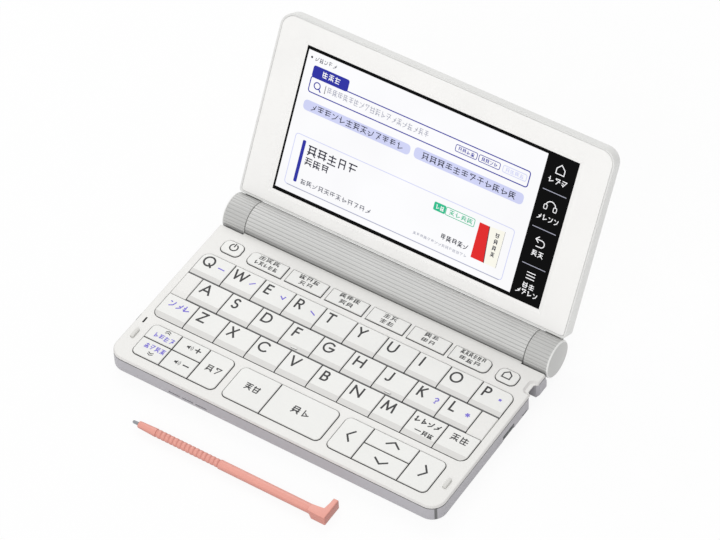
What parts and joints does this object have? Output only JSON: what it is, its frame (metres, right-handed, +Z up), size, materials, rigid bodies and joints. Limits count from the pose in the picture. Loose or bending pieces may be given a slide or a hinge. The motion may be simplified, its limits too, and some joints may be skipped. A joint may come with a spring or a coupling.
{
  "type": "electronic dictionary",
  "caption": "White clamshell pocket electronic dictionary with a letter keyboard, ribbed barrel hinge, tilting display lid and a stylus.",
  "frame": {"origin": "centre of the base's flat underside, on the table", "axes": "+Z up, +X along the hinge to the user's right, +Y from the keyboard's front edge to the hinge"},
  "size_m": [0.144, 0.1496, 0.0805],
  "materials": {
    "case_grey": "fine moulded satin",
    "deck_white": "fine moulded satin",
    "key_white": "satin, printed legends",
    "rubber_white": "soft matt",
    "barrel_grey": "satin with fine lengthwise ribs",
    "cell_metal": "plain gloss sleeve",
    "board": "solder mask",
    "cover_white": "semi gloss",
    "bezel_white": "fine satin",
    "display_glass": "smooth, printed black border",
    "stylus_salmon": "satin"
  },
  "bodies": {
    "base": {"lower_case": "case_grey", "keyboard_deck": "deck_white", "rubber_pads": "rubber_white", "hinge_barrel": "barrel_grey", "battery_cells": "cell_metal", "main_board": "board"},
    "lid": {"lid_back_cover": "cover_white", "lid_bezel": "bezel_white", "display_panel": "display_glass", "hinge_knuckles": "barrel_grey"},
    "battery_cover": {"battery_cover": "barrel_grey"},
    "stylus": {"stylus": "stylus_salmon"},
    "key_power": {"key_power": "key_white"},
    "key_dictionary_1": {"key_dictionary_1": "key_white"},
    "key_dictionary_2": {"key_dictionary_2": "key_white"},
    "key_dictionary_3": {"key_dictionary_3": "key_white"},
    "key_dictionary_4": {"key_dictionary_4": "key_white"},
    "key_dictionary_5": {"key_dictionary_5": "key_white"},
    "key_dictionary_6": {"key_dictionary_6": "key_white"},
    "key_home": {"key_home": "key_white"},
    "key_q": {"key_q": "key_white"},
    "key_w": {"key_w": "key_white"},
    "key_e": {"key_e": "key_white"},
    "key_r": {"key_r": "key_white"},
    "key_t": {"key_t": "key_white"},
    "key_y": {"key_y": "key_white"},
    "key_u": {"key_u": "key_white"},
    "key_i": {"key_i": "key_white"},
    "key_o": {"key_o": "key_white"},
    "key_p": {"key_p": "key_white"},
    "key_a": {"key_a": "key_white"},
    "key_s": {"key_s": "key_white"},
    "key_d": {"key_d": "key_white"},
    "key_f": {"key_f": "key_white"},
    "key_g": {"key_g": "key_white"},
    "key_h": {"key_h": "key_white"},
    "key_j": {"key_j": "key_white"},
    "key_k": {"key_k": "key_white"},
    "key_l": {"key_l": "key_white"},
    "key_shift": {"key_shift": "key_white"},
    "key_z": {"key_z": "key_white"},
    "key_x": {"key_x": "key_white"},
    "key_c": {"key_c": "key_white"},
    "key_v": {"key_v": "key_white"},
    "key_b": {"key_b": "key_white"},
    "key_n": {"key_n": "key_white"},
    "key_m": {"key_m": "key_white"},
    "key_space": {"key_space": "key_white"},
    "key_delete": {"key_delete": "key_white"},
    "key_previous": {"key_previous": "key_white"},
    "key_next": {"key_next": "key_white"},
    "key_volume_up": {"key_volume_up": "key_white"},
    "key_volume_down": {"key_volume_down": "key_white"},
    "key_history": {"key_history": "key_white"},
    "key_back": {"key_back": "key_white"},
    "key_enter": {"key_enter": "key_white"},
    "key_left": {"key_left": "key_white"},
    "key_up": {"key_up": "key_white"},
    "key_down": {"key_down": "key_white"},
    "key_right": {"key_right": "key_white"}
  },
  "joints": [
    {"name": "lid_hinge", "type": "hinge", "parent": "base", "child": "lid", "pos_m": [0, 0.0374, 0.0082], "axis": [1, 0, 0], "range_deg": [-26, 119]},
    {"name": "battery_cover_slide", "type": "slide", "parent": "base", "child": "battery_cover", "axis": [0, 1, 0], "range_m": [0, 0.012]},
    {"name": "stylus_lift", "type": "slide", "parent": "base", "child": "stylus", "axis": [0, 0, 1], "range_m": [0, 0.06]},
    {"name": "key_power_press", "type": "slide", "parent": "base", "child": "key_power", "axis": [0, 0, -1], "range_m": [0, 0.0007], "stiffness_N_per_m": 450},
    {"name": "key_dictionary_1_press", "type": "slide", "parent": "base", "child": "key_dictionary_1", "axis": [0, 0, -1], "range_m": [0, 0.0007], "stiffness_N_per_m": 450},
    {"name": "key_dictionary_2_press", "type": "slide", "parent": "base", "child": "key_dictionary_2", "axis": [0, 0, -1], "range_m": [0, 0.0007], "stiffness_N_per_m": 450},
    {"name": "key_dictionary_3_press", "type": "slide", "parent": "base", "child": "key_dictionary_3", "axis": [0, 0, -1], "range_m": [0, 0.0007], "stiffness_N_per_m": 450},
    {"name": "key_dictionary_4_press", "type": "slide", "parent": "base", "child": "key_dictionary_4", "axis": [0, 0, -1], "range_m": [0, 0.0007], "stiffness_N_per_m": 450},
    {"name": "key_dictionary_5_press", "type": "slide", "parent": "base", "child": "key_dictionary_5", "axis": [0, 0, -1], "range_m": [0, 0.0007], "stiffness_N_per_m": 450},
    {"name": "key_dictionary_6_press", "type": "slide", "parent": "base", "child": "key_dictionary_6", "axis": [0, 0, -1], "range_m": [0, 0.0007], "stiffness_N_per_m": 450},
    {"name": "key_home_press", "type": "slide", "parent": "base", "child": "key_home", "axis": [0, 0, -1], "range_m": [0, 0.0007], "stiffness_N_per_m": 450},
    {"name": "key_q_press", "type": "slide", "parent": "base", "child": "key_q", "axis": [0, 0, -1], "range_m": [0, 0.0007], "stiffness_N_per_m": 450},
    {"name": "key_w_press", "type": "slide", "parent": "base", "child": "key_w", "axis": [0, 0, -1], "range_m": [0, 0.0007], "stiffness_N_per_m": 450},
    {"name": "key_e_press", "type": "slide", "parent": "base", "child": "key_e", "axis": [0, 0, -1], "range_m": [0, 0.0007], "stiffness_N_per_m": 450},
    {"name": "key_r_press", "type": "slide", "parent": "base", "child": "key_r", "axis": [0, 0, -1], "range_m": [0, 0.0007], "stiffness_N_per_m": 450},
    {"name": "key_t_press", "type": "slide", "parent": "base", "child": "key_t", "axis": [0, 0, -1], "range_m": [0, 0.0007], "stiffness_N_per_m": 450},
    {"name": "key_y_press", "type": "slide", "parent": "base", "child": "key_y", "axis": [0, 0, -1], "range_m": [0, 0.0007], "stiffness_N_per_m": 450},
    {"name": "key_u_press", "type": "slide", "parent": "base", "child": "key_u", "axis": [0, 0, -1], "range_m": [0, 0.0007], "stiffness_N_per_m": 450},
    {"name": "key_i_press", "type": "slide", "parent": "base", "child": "key_i", "axis": [0, 0, -1], "range_m": [0, 0.0007], "stiffness_N_per_m": 450},
    {"name": "key_o_press", "type": "slide", "parent": "base", "child": "key_o", "axis": [0, 0, -1], "range_m": [0, 0.0007], "stiffness_N_per_m": 450},
    {"name": "key_p_press", "type": "slide", "parent": "base", "child": "key_p", "axis": [0, 0, -1], "range_m": [0, 0.0007], "stiffness_N_per_m": 450},
    {"name": "key_a_press", "type": "slide", "parent": "base", "child": "key_a", "axis": [0, 0, -1], "range_m": [0, 0.0007], "stiffness_N_per_m": 450},
    {"name": "key_s_press", "type": "slide", "parent": "base", "child": "key_s", "axis": [0, 0, -1], "range_m": [0, 0.0007], "stiffness_N_per_m": 450},
    {"name": "key_d_press", "type": "slide", "parent": "base", "child": "key_d", "axis": [0, 0, -1], "range_m": [0, 0.0007], "stiffness_N_per_m": 450},
    {"name": "key_f_press", "type": "slide", "parent": "base", "child": "key_f", "axis": [0, 0, -1], "range_m": [0, 0.0007], "stiffness_N_per_m": 450},
    {"name": "key_g_press", "type": "slide", "parent": "base", "child": "key_g", "axis": [0, 0, -1], "range_m": [0, 0.0007], "stiffness_N_per_m": 450},
    {"name": "key_h_press", "type": "slide", "parent": "base", "child": "key_h", "axis": [0, 0, -1], "range_m": [0, 0.0007], "stiffness_N_per_m": 450},
    {"name": "key_j_press", "type": "slide", "parent": "base", "child": "key_j", "axis": [0, 0, -1], "range_m": [0, 0.0007], "stiffness_N_per_m": 450},
    {"name": "key_k_press", "type": "slide", "parent": "base", "child": "key_k", "axis": [0, 0, -1], "range_m": [0, 0.0007], "stiffness_N_per_m": 450},
    {"name": "key_l_press", "type": "slide", "parent": "base", "child": "key_l", "axis": [0, 0, -1], "range_m": [0, 0.0007], "stiffness_N_per_m": 450},
    {"name": "key_shift_press", "type": "slide", "parent": "base", "child": "key_shift", "axis": [0, 0, -1], "range_m": [0, 0.0007], "stiffness_N_per_m": 450},
    {"name": "key_z_press", "type": "slide", "parent": "base", "child": "key_z", "axis": [0, 0, -1], "range_m": [0, 0.0007], "stiffness_N_per_m": 450},
    {"name": "key_x_press", "type": "slide", "parent": "base", "child": "key_x", "axis": [0, 0, -1], "range_m": [0, 0.0007], "stiffness_N_per_m": 450},
    {"name": "key_c_press", "type": "slide", "parent": "base", "child": "key_c", "axis": [0, 0, -1], "range_m": [0, 0.0007], "stiffness_N_per_m": 450},
    {"name": "key_v_press", "type": "slide", "parent": "base", "child": "key_v", "axis": [0, 0, -1], "range_m": [0, 0.0007], "stiffness_N_per_m": 450},
    {"name": "key_b_press", "type": "slide", "parent": "base", "child": "key_b", "axis": [0, 0, -1], "range_m": [0, 0.0007], "stiffness_N_per_m": 450},
    {"name": "key_n_press", "type": "slide", "parent": "base", "child": "key_n", "axis": [0, 0, -1], "range_m": [0, 0.0007], "stiffness_N_per_m": 450},
    {"name": "key_m_press", "type": "slide", "parent": "base", "child": "key_m", "axis": [0, 0, -1], "range_m": [0, 0.0007], "stiffness_N_per_m": 450},
    {"name": "key_space_press", "type": "slide", "parent": "base", "child": "key_space", "axis": [0, 0, -1], "range_m": [0, 0.0007], "stiffness_N_per_m": 450},
    {"name": "key_delete_press", "type": "slide", "parent": "base", "child": "key_delete", "axis": [0, 0, -1], "range_m": [0, 0.0007], "stiffness_N_per_m": 450},
    {"name": "key_previous_press", "type": "slide", "parent": "base", "child": "key_previous", "axis": [0, 0, -1], "range_m": [0, 0.0007], "stiffness_N_per_m": 450},
    {"name": "key_next_press", "type": "slide", "parent": "base", "child": "key_next", "axis": [0, 0, -1], "range_m": [0, 0.0007], "stiffness_N_per_m": 450},
    {"name": "key_volume_up_press", "type": "slide", "parent": "base", "child": "key_volume_up", "axis": [0, 0, -1], "range_m": [0, 0.0007], "stiffness_N_per_m": 450},
    {"name": "key_volume_down_press", "type": "slide", "parent": "base", "child": "key_volume_down", "axis": [0, 0, -1], "range_m": [0, 0.0007], "stiffness_N_per_m": 450},
    {"name": "key_history_press", "type": "slide", "parent": "base", "child": "key_history", "axis": [0, 0, -1], "range_m": [0, 0.0007], "stiffness_N_per_m": 450},
    {"name": "key_back_press", "type": "slide", "parent": "base", "child": "key_back", "axis": [0, 0, -1], "range_m": [0, 0.0007], "stiffness_N_per_m": 450},
    {"name": "key_enter_press", "type": "slide", "parent": "base", "child": "key_enter", "axis": [0, 0, -1], "range_m": [0, 0.0007], "stiffness_N_per_m": 450},
    {"name": "key_left_press", "type": "slide", "parent": "base", "child": "key_left", "axis": [0, 0, -1], "range_m": [0, 0.0007], "stiffness_N_per_m": 450},
    {"name": "key_up_press", "type": "slide", "parent": "base", "child": "key_up", "axis": [0, 0, -1], "range_m": [0, 0.0007], "stiffness_N_per_m": 450},
    {"name": "key_down_press", "type": "slide", "parent": "base", "child": "key_down", "axis": [0, 0, -1], "range_m": [0, 0.0007], "stiffness_N_per_m": 450},
    {"name": "key_right_press", "type": "slide", "parent": "base", "child": "key_right", "axis": [0, 0, -1], "range_m": [0, 0.0007], "stiffness_N_per_m": 450}
  ]
}
